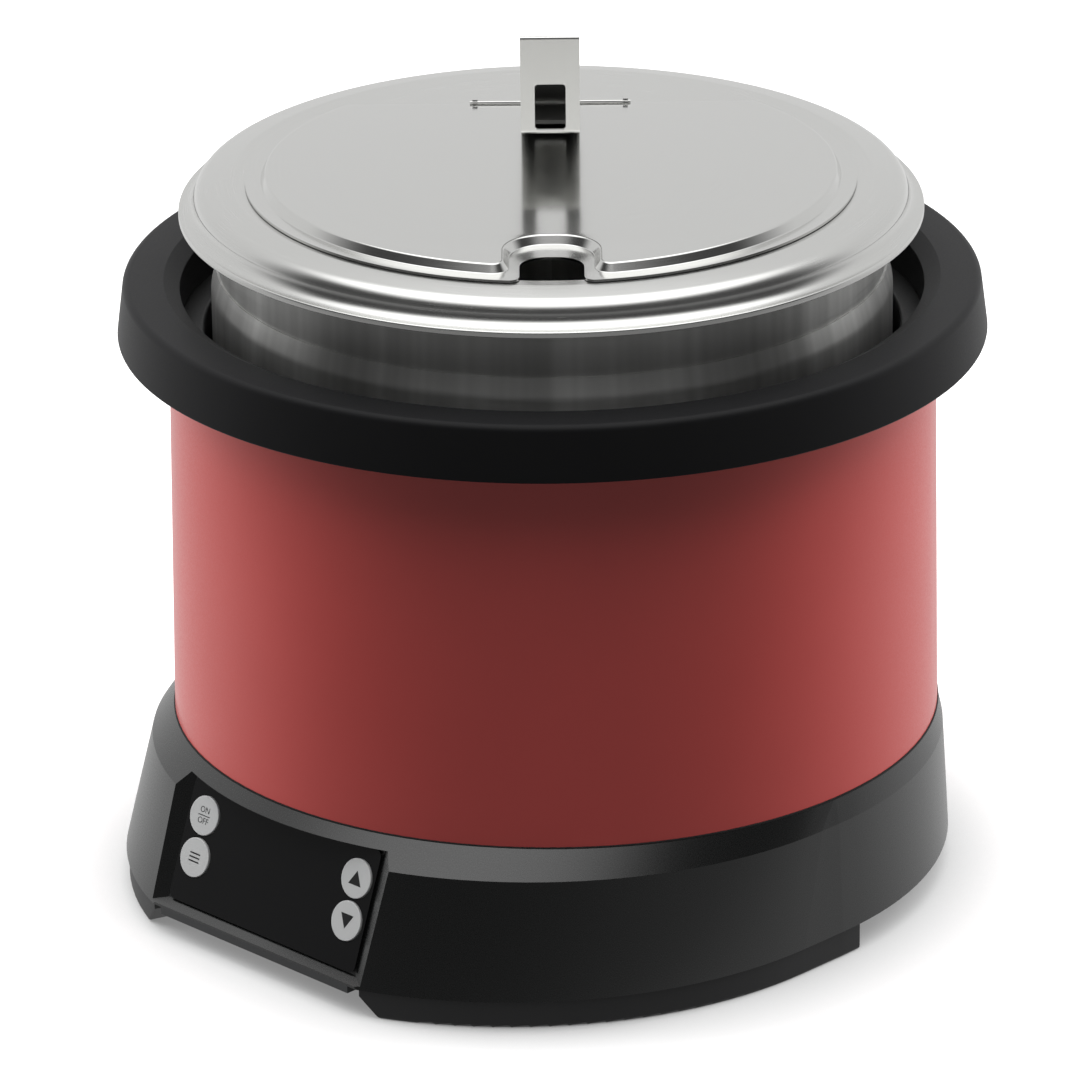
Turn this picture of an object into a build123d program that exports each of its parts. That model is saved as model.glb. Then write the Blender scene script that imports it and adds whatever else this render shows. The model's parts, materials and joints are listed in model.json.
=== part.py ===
from build123d import *
from math import atan2, cos, degrees, radians, sin, sqrt, tan
import os

os.makedirs("parts", exist_ok=True)

# Fits
fit_gap = 0.3
hinge_gap = 0.06
screw_gap = 0.1

# Heights, each one piece above the last
foot_height = 11.5
base_height = 67.0
shoulder_drop = 10.0
shell_rise = 157.8
ring_height = 22.2
neck_rise = 28.0
crown_rise = 11.5
plateau_rise = 3.5

# Base housing: round at the seam, stretched towards the control panel lower down
shell_room = 18.9
shoulder_flare = 2.3
foot_flare = 4.8
seam_stretch = 0.6
shoulder_stretch = 9.5
foot_stretch = 22.0
base_wall = 3.0
deck_sheet = 3.0
foot_depth = 12.0
foot_inset = 1.0
foot_start_gap = 1.5
foot_end = 94.0
rear_foot_start = 143.0
rear_foot_end = 172.0
foot_round = 1.5
foot_ramp = 8.5
pan_lap = 7.0
pan_sheet = 3.0
pan_boss_radius = 4.5
pan_boss_height = 9.0
spigot_wall = 3.0
spigot_height = 6.0

# Control panel
panel_turn = 45.0
panel_lean = 19.8
panel_cut = 15.5
panel_rise = 3.0
panel_width = 106.0
panel_side_lean = 65.0
panel_lip = 4.4
panel_ledge = 4.6
panel_ledge_drop = 2.0
overlay_sheet = 1.0
overlay_side_gap = 0.5
overlay_height = 49.5
overlay_corner = 3.0
button_diameter = 15.8
button_inset = 10.0
button_low = 19.0
button_pitch = 17.1
button_proud = 0.7
button_travel = 0.7
button_tab_width = 20.5
button_tab_height = 6.0
button_tab_sheet = 1.2
button_stem_radius = 2.5
button_stem_length = 2.0
board_side_gap = 1.0
board_height = 40.0
board_sheet = 1.6
board_boss_radius = 3.0
switch_size = 6.0
switch_height = 2.6
switch_key_radius = 1.75
switch_key_height = 0.6
display_width = 40.0
display_height = 18.0
display_corner = 1.0

# Screws
screw_radius = 1.5
screw_head_radius = 3.2
screw_head_height = 2.2
screw_length = 8.0

# Outer shell and top ring
shell_taper = 1.8
shell_wall = 1.0
ring_overhang = 18.5
ring_flare = 2.8
ring_wall = 4.0
ring_sheet = 5.0
ring_round = 3.0
ring_edge_round = 0.8
ring_chamfer_width = 6.5
ring_chamfer_drop = 3.5
ring_spigot_wall = 3.4
ring_spigot_depth = 18.0
gasket_sheet = 1.5

# Inset, well and what lies under them
inset_radius = 133.8
inset_wall = 1.2
inset_corner = 10.0
neck_step = 2.8
neck_ledge = 0.7
neck_height = 22.6
belly_fall = 8.0
belly_round = 12.0
rim_width = 13.2
rim_round = 3.0
well_gap = 2.9
well_wall = 2.5
well_floor = 4.0
well_corner = 8.0
well_flange_sheet = 2.5
well_screw_count = 6
pad_height = 2.0
pad_radius = 9.0
pad_circle = 90.0
pad_count = 4
bar_height = 2.7
bar_length = 62.0
bar_width = 14.0
bar_count = 6
carrier_sheet = 3.0
carrier_margin = 8.7
coil_inner_radius = 36.0
coil_wire_radius = 2.5
coil_pitch = 6.6
coil_turns = 12
insulation_sheet = 5.0
sensor_radius = 11.0
sensor_skirt_radius = 9.0
sensor_skirt_length = 10.0
sensor_head = 3.2
sensor_wall = 3.0
sensor_floor = 2.0
spring_radius = 7.0
spring_wall = 1.2

# Lid
lid_sheet = 1.0
lid_overhang = 1.4
lid_hem_depth = 2.5
crown_setback = 6.1
crown_round = 6.0
crown_fall = 2.4
crown_flat_margin = 0.6
crown_bend = 10.0
crown_foot_round = 5.0
door_margin = 20.4
door_shift = 5.5
door_lap = 4.0
door_flange = 6.0
door_gap = 1.5
door_rear_flange = 1.5
plateau_draft = 30.0
plateau_corner = 6.0
plateau_bevel = 0.8
notch_width = 24.6
notch_depth = 26.3
notch_corner = 10.5
notch_mouth_round = 4.0
notch_flange = 4.2
notch_shelf = 9.5
hinge_inset = 49.6
hinge_margin = 4.4
wire_radius = 0.5
wire_length = 64.0
clip_wall = 0.6
clip_width = 2.0
clip_reach = 9.0
clip_foot = 8.0

# Handle strap
strap_width = 23.0
strap_sheet = 1.5
handle_reach = 81.7
handle_lean = 18.0
handle_height = 60.0
handle_lip_height = 15.8
handle_top = 1.6
handle_top_fold = 0.8
handle_rear_fold = 0.5
handle_foot = 22.0
handle_fold = 2.5
handle_ramp_fold = 9.0
window_width = 12.0
window_height = 21.1
window_lip = 1.5
window_corner = 1.5
rear_window_near = 12.0
rear_window_far = 37.0
ramp_window_near = 6.0
ramp_window_far = 47.0

# Power electronics, fan and cord gland
power_board_width = 140.0
power_board_depth = 80.0
power_board_setback = 75.0
power_board_lift = 8.5
post_radius = 3.5
sink_width = 62.0
sink_depth = 56.0
sink_height = 27.0
sink_base = 4.0
sink_fins = 9
sink_fin_sheet = 2.0
capacitor_radius = 12.0
capacitor_height = 32.0
choke_radius = 16.0
choke_bore = 7.0
choke_height = 13.0
fan_size = 80.0
fan_depth = 25.0
fan_setback = 50.0
fan_wall = 3.0
fan_corner = 4.0
fan_motor_radius = 16.0
fan_strut_width = 4.0
fan_strut_depth = 4.0
fan_shaft_radius = 1.5
fan_blade_count = 7
fan_blade_sheet = 1.6
fan_blade_height = 16.0
fan_blade_tilt = 38.0
fan_tip_gap = 1.5
vent_width = 4.0
vent_pitch = 8.0
gland_height = 34.0
gland_radius = 9.0
gland_flange_radius = 12.5
gland_flange = 3.5
gland_bore = 4.2
gland_length = 14.0
gland_nut_sheet = 4.0
gland_pad = 1.0
outlet_count = 9
outlet_width = 3.0
outlet_height = 22.0
outlet_step = 4.5

# Levels worked out from the heights
seam_z = base_height
shoulder_z = seam_z - shoulder_drop
ring_bottom_z = seam_z + shell_rise
ring_top_z = ring_bottom_z + ring_height
rim_z = ring_top_z + neck_rise
lid_flange_z = rim_z + lid_sheet
crown_z = lid_flange_z + crown_rise
crown_edge_z = crown_z - crown_fall
door_z = crown_z + fit_gap
plateau_z = door_z + lid_sheet + plateau_rise
pan_z = foot_height - pan_sheet
deck_z = seam_z - deck_sheet
bar_z = seam_z
carrier_z = bar_z + bar_height + fit_gap
coil_z = carrier_z + carrier_sheet + fit_gap + coil_wire_radius
insulation_z = coil_z + coil_wire_radius + fit_gap
well_bottom_z = insulation_z + insulation_sheet + fit_gap
well_floor_z = well_bottom_z + well_floor
inset_bottom_z = well_floor_z + pad_height

# Radii worked out from the pieces that they fit
shell_radius_low = inset_radius + shell_room
ring_radius_low = shell_radius_low + ring_overhang
ring_radius_high = ring_radius_low - ring_flare
shoulder_radius = shell_radius_low + shoulder_flare
foot_radius = shell_radius_low + foot_flare
well_radius = inset_radius + well_gap
neck_radius = inset_radius - neck_step
rim_radius = neck_radius + rim_width
lid_radius = rim_radius + fit_gap + lid_overhang
crown_radius = lid_radius - crown_setback
door_radius = crown_radius - door_margin
crown_flat_radius = door_radius + door_shift + crown_flat_margin
notch_reach = door_radius + door_shift - notch_depth
hinge_setback = door_radius - hinge_inset
hinge_z = plateau_z + wire_radius + hinge_gap
carrier_radius = well_radius - carrier_margin
spigot_radius = shell_radius_low - shell_wall - fit_gap

# Widths across the panel
overlay_width = panel_width - 2 * overlay_side_gap
button_spread = panel_width - 2 * button_inset
board_width = panel_width - 2 * board_side_gap

# Depths behind the panel's face
tab_depth = base_wall + fit_gap
stem_depth = tab_depth + button_tab_sheet + button_stem_length
key_depth = stem_depth + button_travel + fit_gap
board_depth = key_depth + switch_key_height + switch_height
board_setback = board_depth + board_sheet


def shell_radius(z):
    """Outside radius of the shell, which narrows a little towards the top."""
    return shell_radius_low - shell_taper * (z - seam_z) / shell_rise


def ring_radius(z):
    """Outside radius of the top ring, which flares a little towards its lower edge."""
    return ring_radius_low - ring_flare * (z - ring_bottom_z) / ring_height


# Planes of the base: local -Y points out through the control panel
def base_plane(z):
    return Plane.XY.rotated((0, 0, -panel_turn)).offset(z)


panel_out = Vector(-sin(radians(panel_turn)), -cos(radians(panel_turn)), 0)
panel_right = Vector(cos(radians(panel_turn)), -sin(radians(panel_turn)), 0)
panel_reach = foot_radius + foot_stretch - panel_cut
panel_z = foot_height + panel_rise
panel_slope = tan(radians(panel_lean))
panel_height = (seam_z - panel_lip - panel_z) / cos(radians(panel_lean))
panel_lip_reach = panel_reach + panel_ledge
ledge_angle = atan2(panel_ledge_drop, panel_ledge)
ledge_fall = tan(radians(panel_lean) + ledge_angle)
side_plane = Plane(origin=(0, 0, 0), x_dir=panel_out, z_dir=-panel_right)
panel_plane = Plane(
    origin=panel_out * panel_reach + Vector(0, 0, panel_z),
    x_dir=panel_right,
    z_dir=panel_out * cos(radians(panel_lean)) + Vector(0, 0, sin(radians(panel_lean))),
)


def base_section(radius, stretch, mode=Mode.ADD):
    """The base's outline: a circle drawn out towards the panel."""
    with Locations((0, -stretch / 2)):
        SlotCenterToCenter(stretch, 2 * radius, rotation=90, mode=mode)


def on_outline(radius, angle):
    """A point on the foot outline, at an angle from the panel's direction."""
    shift = foot_stretch if abs(angle) < 90 else 0
    return (radius * sin(radians(angle)), -radius * cos(radians(angle)) - shift)


def rounded_section(*corners):
    """A closed profile from (x, y, corner radius) triples."""
    with BuildLine(mode=Mode.PRIVATE) as outline:
        FilletPolyline(*[c[:2] for c in corners], radius=[c[2] for c in corners], close=True)
    make_face(outline.edges())


def panel_opening(depth):
    """Outline of the panel's recess at a distance in front of its floor."""
    half = panel_width / 2 + depth * tan(radians(panel_side_lean))
    low = -depth * ledge_fall
    high = panel_height - depth * panel_slope
    Polygon((-half, low), (half, low), (half, high), (-half, high), align=None)


button_spots = [
    ("button_power", -button_spread / 2, button_low + button_pitch),
    ("button_function", -button_spread / 2, button_low),
    ("button_up", button_spread / 2, button_low + button_pitch),
    ("button_down", button_spread / 2, button_low),
]
panel_mid = button_low + button_pitch / 2
boss_x = (display_width + button_spread - button_tab_width) / 4
boss_y = board_height / 2 - board_boss_radius
pan_screw_angles = (40, 105, 150, -150, -105, -40)
pan_screw_radius = foot_radius - foot_depth - fit_gap - pan_boss_radius
pan_screw_spots = [on_outline(pan_screw_radius, a) for a in pan_screw_angles]
gland_plane = Plane(
    origin=-panel_out * shell_radius_low + Vector(0, 0, gland_height),
    x_dir=-panel_right,
    z_dir=-panel_out,
)
gland_wall = foot_radius - (foot_flare - shoulder_flare) * (gland_height - foot_height) / (
    shoulder_z - foot_height
)
gland_seat = gland_wall - shell_radius_low
gland_pad_depth = base_wall + 2 * gland_pad
outlet_arc = outlet_step * outlet_count
outlet_first_angles = (90 + 2 * outlet_step, 90 - outlet_step - outlet_arc)

# Base housing
with BuildPart() as base_cavity:
    with BuildSketch(base_plane(foot_height)):
        base_section(foot_radius - base_wall, foot_stretch)
    with BuildSketch(base_plane(shoulder_z)):
        base_section(shoulder_radius - base_wall, shoulder_stretch)
    loft(ruled=True)
    with BuildSketch(base_plane(shoulder_z)):
        base_section(shoulder_radius - base_wall, shoulder_stretch)
    with BuildSketch(base_plane(deck_z)):
        base_section(shell_radius_low - base_wall, seam_stretch)
    loft(ruled=True)
    with BuildSketch(panel_plane.offset(-base_wall)):
        Rectangle(panel_width + 4 * panel_cut, 6 * panel_height)
    extrude(amount=2 * panel_cut, mode=Mode.SUBTRACT)

with BuildPart() as panel_recess:
    with BuildSketch(panel_plane):
        panel_opening(0)
    with BuildSketch(panel_plane.offset(2 * panel_cut)):
        panel_opening(2 * panel_cut)
    loft(ruled=True)
    with BuildSketch(side_plane):
        with Locations((panel_lip_reach + panel_cut, panel_z - panel_ledge)):
            Rectangle(2 * panel_cut, 2 * panel_ledge)
    extrude(amount=panel_width / 2 + panel_ledge, both=True)

with BuildPart() as base_housing:
    with BuildSketch(base_plane(foot_height)):
        base_section(foot_radius, foot_stretch)
    with BuildSketch(base_plane(shoulder_z)):
        base_section(shoulder_radius, shoulder_stretch)
    loft(ruled=True)
    with BuildSketch(base_plane(shoulder_z)):
        base_section(shoulder_radius, shoulder_stretch)
    with BuildSketch(base_plane(seam_z)):
        base_section(shell_radius_low, seam_stretch)
    loft(ruled=True)
    add(base_cavity.part, mode=Mode.SUBTRACT)
    with BuildSketch(base_plane(foot_height)):
        base_section(foot_radius - base_wall / 2, foot_stretch)
        base_section(foot_radius - foot_depth - pan_lap, foot_stretch, mode=Mode.SUBTRACT)
    extrude(amount=base_wall)
    with BuildSketch(base_plane(foot_height)):
        with Locations(*pan_screw_spots):
            Circle(pan_boss_radius)
    extrude(amount=pan_boss_height)
    add(panel_recess.part, mode=Mode.SUBTRACT)
    with BuildSketch(base_plane(foot_height)):
        with Locations(*pan_screw_spots):
            Circle(screw_radius + screw_gap)
    extrude(amount=screw_length, mode=Mode.SUBTRACT)
    with BuildSketch(base_plane(seam_z)):
        Circle(spigot_radius)
        Circle(spigot_radius - spigot_wall, mode=Mode.SUBTRACT)
    extrude(amount=spigot_height)
    with BuildSketch(panel_plane.offset(-base_wall)):
        with Locations((0, panel_mid)):
            with GridLocations(2 * boss_x, 2 * boss_y, 2, 2):
                Circle(board_boss_radius)
    extrude(amount=-(board_depth - base_wall))
    with BuildSketch(panel_plane.offset(-board_depth)):
        with Locations((0, panel_mid)):
            with GridLocations(2 * boss_x, 2 * boss_y, 2, 2):
                Circle(screw_radius + screw_gap)
    extrude(amount=board_depth - base_wall, mode=Mode.SUBTRACT)
    with BuildSketch(panel_plane):
        with Locations(*[(x, y) for _, x, y in button_spots]):
            Circle(button_diameter / 2 + fit_gap)
        with Locations((0, panel_mid)):
            Rectangle(display_width + 2 * fit_gap, display_height + 2 * fit_gap)
    extrude(amount=-2 * base_wall, mode=Mode.SUBTRACT)
    with BuildSketch(gland_plane.offset(gland_seat + gland_pad)):
        Circle(gland_flange_radius + gland_pad)
    extrude(amount=-gland_pad_depth)
    with BuildSketch(gland_plane):
        Circle(gland_radius + fit_gap)
    extrude(amount=3 * base_wall, both=True, mode=Mode.SUBTRACT)
    with BuildSketch(base_plane(gland_height - outlet_height / 2)):
        for first_angle in outlet_first_angles:
            with PolarLocations(shoulder_radius, outlet_count, first_angle, outlet_arc):
                Rectangle(4 * base_wall, outlet_width)
    extrude(amount=outlet_height, mode=Mode.SUBTRACT)
base_housing.part.label = "base_housing"
export_step(base_housing.part, "parts/base_housing.step")

# Base pan, with posts for the power board and vents under the fan
post_spread_x = power_board_width - 4 * post_radius
post_spread_y = power_board_depth - 4 * post_radius
with BuildPart() as base_pan:
    with BuildSketch(base_plane(pan_z)):
        base_section(foot_radius - foot_depth - fit_gap, foot_stretch)
        with Locations((0, -panel_lip_reach + foot_stretch)):
            Rectangle(panel_width, 2 * foot_stretch)
        with Locations((0, -panel_lip_reach - foot_stretch)):
            Rectangle(2 * foot_radius, 2 * foot_stretch, mode=Mode.SUBTRACT)
        with Locations(*pan_screw_spots):
            Circle(screw_radius + screw_gap, mode=Mode.SUBTRACT)
    extrude(amount=pan_sheet)
    with BuildSketch(base_plane(foot_height)):
        with Locations((0, -power_board_setback)):
            with GridLocations(post_spread_x, post_spread_y, 2, 2):
                Circle(post_radius)
    extrude(amount=power_board_lift)
    with BuildSketch(base_plane(pan_z)):
        with Locations((0, fan_setback)):
            with GridLocations(vent_pitch, 0, int(fan_size / vent_pitch), 1):
                Rectangle(vent_width, fan_size)
            Circle(fan_size / 2 - fan_wall - vent_width, mode=Mode.INTERSECT)
    extrude(amount=pan_sheet, mode=Mode.SUBTRACT)
base_pan.part.label = "base_pan"
export_step(base_pan.part, "parts/base_pan.step")

# Foot arcs under the housing's edge, the front ones from the sides of the panel
foot_inner_radius = foot_radius - foot_depth
foot_corner_x = panel_width / 2 + foot_start_gap
foot_corner_y = foot_stretch + sqrt(foot_inner_radius**2 - foot_corner_x**2)
foot_start = degrees(atan2(foot_corner_x, foot_corner_y))
foot_spans = [
    (foot_start, foot_end),
    (rear_foot_start, rear_foot_end),
    (-rear_foot_end, -rear_foot_start),
    (-foot_end, -foot_start),
]
with BuildSketch() as foot_wedges:
    for first, last in foot_spans:
        far = 2 * (foot_radius + foot_stretch)
        turns = [radians(a) for a in (first, (first + last) / 2, last)]
        rim = [(far * sin(a), -far * cos(a)) for a in turns]
        Polygon((0, 0), *rim, align=None)
with BuildPart() as foot_arcs:
    with BuildSketch(base_plane(0)):
        base_section(foot_radius - foot_inset, foot_stretch)
        base_section(foot_inner_radius, foot_stretch, mode=Mode.SUBTRACT)
        add(foot_wedges.sketch, mode=Mode.INTERSECT)
    extrude(amount=foot_height)
    panel_axis = Axis((0, 0, 0), panel_out)
    foot_ends = foot_arcs.edges().group_by(Axis.Z)[0].filter_by(GeomType.LINE).sort_by(panel_axis)
    chamfer(foot_ends[-2:], foot_ramp)
    fillet(foot_arcs.edges().group_by(Axis.Z)[0].filter_by(GeomType.CIRCLE), foot_round)
foot_arcs.part.label = "foot_arcs"
export_step(foot_arcs.part, "parts/foot_arcs.step")

# Screws that hold the pan to the housing
with BuildPart() as pan_screws:
    with BuildSketch(base_plane(pan_z)):
        with Locations(*pan_screw_spots):
            Circle(screw_head_radius)
    extrude(amount=-screw_head_height)
    with BuildSketch(base_plane(pan_z)):
        with Locations(*pan_screw_spots):
            Circle(screw_radius)
    extrude(amount=pan_sheet + screw_length - fit_gap)
pan_screws.part.label = "pan_screws"
export_step(pan_screws.part, "parts/pan_screws.step")

# Control overlay
with BuildPart() as control_overlay:
    with BuildSketch(panel_plane):
        with Locations((0, overlay_height / 2 + fit_gap)):
            RectangleRounded(overlay_width, overlay_height, overlay_corner)
        with Locations(*[(x, y) for _, x, y in button_spots]):
            Circle(button_diameter / 2 + fit_gap, mode=Mode.SUBTRACT)
    extrude(amount=overlay_sheet)
control_overlay.part.label = "control_overlay"
export_step(control_overlay.part, "parts/control_overlay.step")

# Push buttons, kept by two tabs behind the panel's wall
for name, x, y in button_spots:
    with BuildPart() as button:
        with BuildSketch(panel_plane.offset(overlay_sheet + button_proud)):
            with Locations((x, y)):
                Circle(button_diameter / 2)
        extrude(amount=-(overlay_sheet + button_proud + tab_depth))
        cap_face = button.faces().sort_by(Axis(panel_plane.origin, panel_plane.z_dir))[-1]
        fillet(cap_face.edges(), button_proud / 2)
        with BuildSketch(panel_plane.offset(-tab_depth)):
            with Locations((x, y)):
                Rectangle(button_tab_width, button_tab_height)
        extrude(amount=-button_tab_sheet)
        with BuildSketch(panel_plane.offset(-tab_depth - button_tab_sheet)):
            with Locations((x, y)):
                Circle(button_stem_radius)
        extrude(amount=-button_stem_length)
    button.part.label = name
    export_step(button.part, f"parts/{name}.step")

# Control board, its key switches, display and screws
with BuildPart() as control_board:
    with BuildSketch(panel_plane.offset(-board_setback)):
        with Locations((0, panel_mid)):
            Rectangle(board_width, board_height)
            with GridLocations(2 * boss_x, 2 * boss_y, 2, 2):
                Circle(screw_radius + screw_gap, mode=Mode.SUBTRACT)
    extrude(amount=board_sheet)
control_board.part.label = "control_board"
export_step(control_board.part, "parts/control_board.step")

with BuildPart() as key_switches:
    with BuildSketch(panel_plane.offset(-board_depth)):
        with Locations(*[(x, y) for _, x, y in button_spots]):
            Rectangle(switch_size, switch_size)
    extrude(amount=switch_height)
    with BuildSketch(panel_plane.offset(-board_depth + switch_height)):
        with Locations(*[(x, y) for _, x, y in button_spots]):
            Circle(switch_key_radius)
    extrude(amount=switch_key_height)
key_switches.part.label = "key_switches"
export_step(key_switches.part, "parts/key_switches.step")

with BuildPart() as display_module:
    with BuildSketch(panel_plane.offset(-board_depth)):
        with Locations((0, panel_mid)):
            RectangleRounded(display_width, display_height, display_corner)
    extrude(amount=board_depth - fit_gap)
display_module.part.label = "display_module"
export_step(display_module.part, "parts/display_module.step")

with BuildPart() as board_screws:
    with BuildSketch(panel_plane.offset(-board_setback)):
        with Locations((0, panel_mid)):
            with GridLocations(2 * boss_x, 2 * boss_y, 2, 2):
                Circle(screw_head_radius)
    extrude(amount=-screw_head_height)
    with BuildSketch(panel_plane.offset(-board_setback)):
        with Locations((0, panel_mid)):
            with GridLocations(2 * boss_x, 2 * boss_y, 2, 2):
                Circle(screw_radius)
    extrude(amount=board_setback - base_wall - fit_gap)
board_screws.part.label = "board_screws"
export_step(board_screws.part, "parts/board_screws.step")

# Outer shell, seated on the base and up under the top ring
shell_top_z = ring_top_z - ring_sheet
with BuildPart() as outer_shell:
    with BuildSketch(Plane.XZ):
        Polygon(
            (shell_radius_low, seam_z),
            (shell_radius(shell_top_z), shell_top_z),
            (shell_radius(shell_top_z) - shell_wall, shell_top_z),
            (shell_radius_low - shell_wall, seam_z),
            align=None,
        )
    revolve(axis=Axis.Z)
outer_shell.part.label = "outer_shell"
export_step(outer_shell.part, "parts/outer_shell.step")

# Top ring
ring_spigot_radius = shell_radius(shell_top_z) - shell_wall - fit_gap
ring_bore = ring_spigot_radius - ring_spigot_wall
ring_spigot_z = ring_top_z - ring_spigot_depth
well_flange_z = ring_spigot_z - gasket_sheet
well_screw_circle = (ring_bore + ring_spigot_radius) / 2
with BuildPart() as top_ring:
    with BuildSketch(Plane.XZ):
        rounded_section(
            (ring_radius_low, ring_bottom_z, ring_edge_round),
            (ring_radius_high, ring_top_z, ring_round),
            (ring_bore + ring_chamfer_width, ring_top_z, ring_edge_round),
            (ring_bore, ring_top_z - ring_chamfer_drop, ring_edge_round),
            (ring_bore, ring_spigot_z, 0),
            (ring_spigot_radius, ring_spigot_z, 0),
            (ring_spigot_radius, shell_top_z, 0),
            (ring_radius(shell_top_z) - ring_wall, shell_top_z, ring_edge_round),
            (ring_radius_low - ring_wall, ring_bottom_z, ring_edge_round),
        )
    revolve(axis=Axis.Z)
    with BuildSketch(Plane.XY.offset(ring_spigot_z)):
        with PolarLocations(well_screw_circle, well_screw_count):
            Circle(screw_radius / 2 + screw_gap)
    extrude(amount=screw_length, mode=Mode.SUBTRACT)
top_ring.part.label = "top_ring"
export_step(top_ring.part, "parts/top_ring.step")

# Gasket between the ring and the well
with BuildPart() as ring_gasket:
    with BuildSketch(Plane.XY.offset(well_flange_z)):
        Circle(ring_spigot_radius)
        Circle(ring_bore, mode=Mode.SUBTRACT)
        with PolarLocations(well_screw_circle, well_screw_count):
            Circle(screw_radius / 2 + screw_gap, mode=Mode.SUBTRACT)
    extrude(amount=gasket_sheet)
ring_gasket.part.label = "ring_gasket"
export_step(ring_gasket.part, "parts/ring_gasket.step")

# Well liner, whose flange is the ledge seen under the ring
well_outer = well_radius + well_wall
with BuildPart() as well_liner:
    with BuildSketch(Plane.XZ):
        rounded_section(
            (0, well_bottom_z, 0),
            (well_outer, well_bottom_z, well_corner + well_wall),
            (well_outer, well_flange_z - well_flange_sheet, 0),
            (ring_spigot_radius, well_flange_z - well_flange_sheet, 0),
            (ring_spigot_radius, well_flange_z, 0),
            (well_radius, well_flange_z, well_wall / 2),
            (well_radius, well_floor_z, well_corner),
            (0, well_floor_z, 0),
        )
    revolve(axis=Axis.Z)
    with BuildSketch(Plane.XY.offset(well_bottom_z)):
        Circle(sensor_radius + fit_gap)
    extrude(amount=well_floor, mode=Mode.SUBTRACT)
    with BuildSketch(Plane.XY.offset(well_flange_z)):
        with PolarLocations(well_screw_circle, well_screw_count):
            Circle(screw_radius / 2 + screw_gap)
    extrude(amount=-well_flange_sheet, mode=Mode.SUBTRACT)
well_liner.part.label = "well_liner"
export_step(well_liner.part, "parts/well_liner.step")

with BuildPart() as well_screws:
    with BuildSketch(Plane.XY.offset(well_flange_z - well_flange_sheet)):
        with PolarLocations(well_screw_circle, well_screw_count):
            Circle(screw_radius)
    extrude(amount=-screw_head_height)
    with BuildSketch(Plane.XY.offset(well_flange_z - well_flange_sheet)):
        with PolarLocations(well_screw_circle, well_screw_count):
            Circle(screw_radius / 2)
    extrude(amount=well_flange_sheet + gasket_sheet + screw_length - fit_gap)
well_screws.part.label = "well_screws"
export_step(well_screws.part, "parts/well_screws.step")

# Pads that the inset stands on
with BuildPart() as rest_pads:
    with BuildSketch(Plane.XY.offset(well_floor_z)):
        with PolarLocations(pad_circle, pad_count, 180 / pad_count):
            Circle(pad_radius)
    extrude(amount=pad_height)
rest_pads.part.label = "rest_pads"
export_step(rest_pads.part, "parts/rest_pads.step")

# Induction coil: one wire wound in half turns about two centres, on its carrier
with BuildPart() as ferrite_bars:
    with BuildSketch(base_plane(bar_z)):
        with PolarLocations((coil_inner_radius + carrier_radius) / 2, bar_count):
            Rectangle(bar_length, bar_width)
    extrude(amount=bar_height)
ferrite_bars.part.label = "ferrite_bars"
export_step(ferrite_bars.part, "parts/ferrite_bars.step")

holder_radius = sensor_skirt_radius + fit_gap + sensor_wall
with BuildPart() as coil_carrier:
    with BuildSketch(Plane.XY.offset(carrier_z)):
        Circle(carrier_radius)
        Circle(holder_radius + fit_gap, mode=Mode.SUBTRACT)
    extrude(amount=carrier_sheet)
coil_carrier.part.label = "coil_carrier"
export_step(coil_carrier.part, "parts/coil_carrier.step")

with BuildPart() as induction_coil:
    with BuildLine(Plane.XY.offset(coil_z)) as coil_path:
        for turn in range(coil_turns):
            radius = coil_inner_radius + turn * coil_pitch
            CenterArc((0, 0), radius, 0, 180)
            CenterArc((coil_pitch / 2, 0), radius + coil_pitch / 2, 180, 180)
    with BuildSketch(Plane(origin=(coil_inner_radius, 0, coil_z), z_dir=(0, 1, 0))):
        Circle(coil_wire_radius)
    sweep()
induction_coil.part.label = "induction_coil"
export_step(induction_coil.part, "parts/induction_coil.step")

with BuildPart() as insulation_disc:
    with BuildSketch(Plane.XY.offset(insulation_z)):
        Circle(well_radius - well_corner)
        Circle(holder_radius + fit_gap, mode=Mode.SUBTRACT)
    extrude(amount=insulation_sheet)
insulation_disc.part.label = "insulation_disc"
export_step(insulation_disc.part, "parts/insulation_disc.step")

# Sensor that the inset's bottom presses on
plunger_top_z = inset_bottom_z - fit_gap
skirt_z = plunger_top_z - sensor_head - sensor_skirt_length
spring_z = seam_z + sensor_floor
with BuildPart() as sensor_holder:
    with BuildSketch(Plane.XY.offset(seam_z)):
        Circle(holder_radius)
    extrude(amount=well_bottom_z - seam_z)
    with BuildSketch(Plane.XY.offset(spring_z)):
        Circle(sensor_skirt_radius + fit_gap)
    extrude(amount=well_bottom_z - spring_z, mode=Mode.SUBTRACT)
sensor_holder.part.label = "sensor_holder"
export_step(sensor_holder.part, "parts/sensor_holder.step")

with BuildPart() as sensor_plunger:
    with BuildSketch(Plane.XY.offset(skirt_z)):
        Circle(sensor_skirt_radius)
    extrude(amount=sensor_skirt_length)
    with BuildSketch(Plane.XY.offset(skirt_z + sensor_skirt_length)):
        Circle(sensor_radius)
    extrude(amount=sensor_head)
sensor_plunger.part.label = "sensor_plunger"
export_step(sensor_plunger.part, "parts/sensor_plunger.step")

with BuildPart() as sensor_spring:
    with BuildSketch(Plane.XY.offset(spring_z)):
        Circle(spring_radius)
        Circle(spring_radius - spring_wall, mode=Mode.SUBTRACT)
    extrude(amount=skirt_z - spring_z)
sensor_spring.part.label = "sensor_spring"
export_step(sensor_spring.part, "parts/sensor_spring.step")

# Power board and what stands on it
power_board_z = foot_height + power_board_lift
power_top_z = power_board_z + board_sheet
with BuildPart() as power_board:
    with BuildSketch(base_plane(power_board_z)):
        with Locations((0, -power_board_setback)):
            Rectangle(power_board_width, power_board_depth)
    extrude(amount=board_sheet)
power_board.part.label = "power_board"
export_step(power_board.part, "parts/power_board.step")

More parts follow.
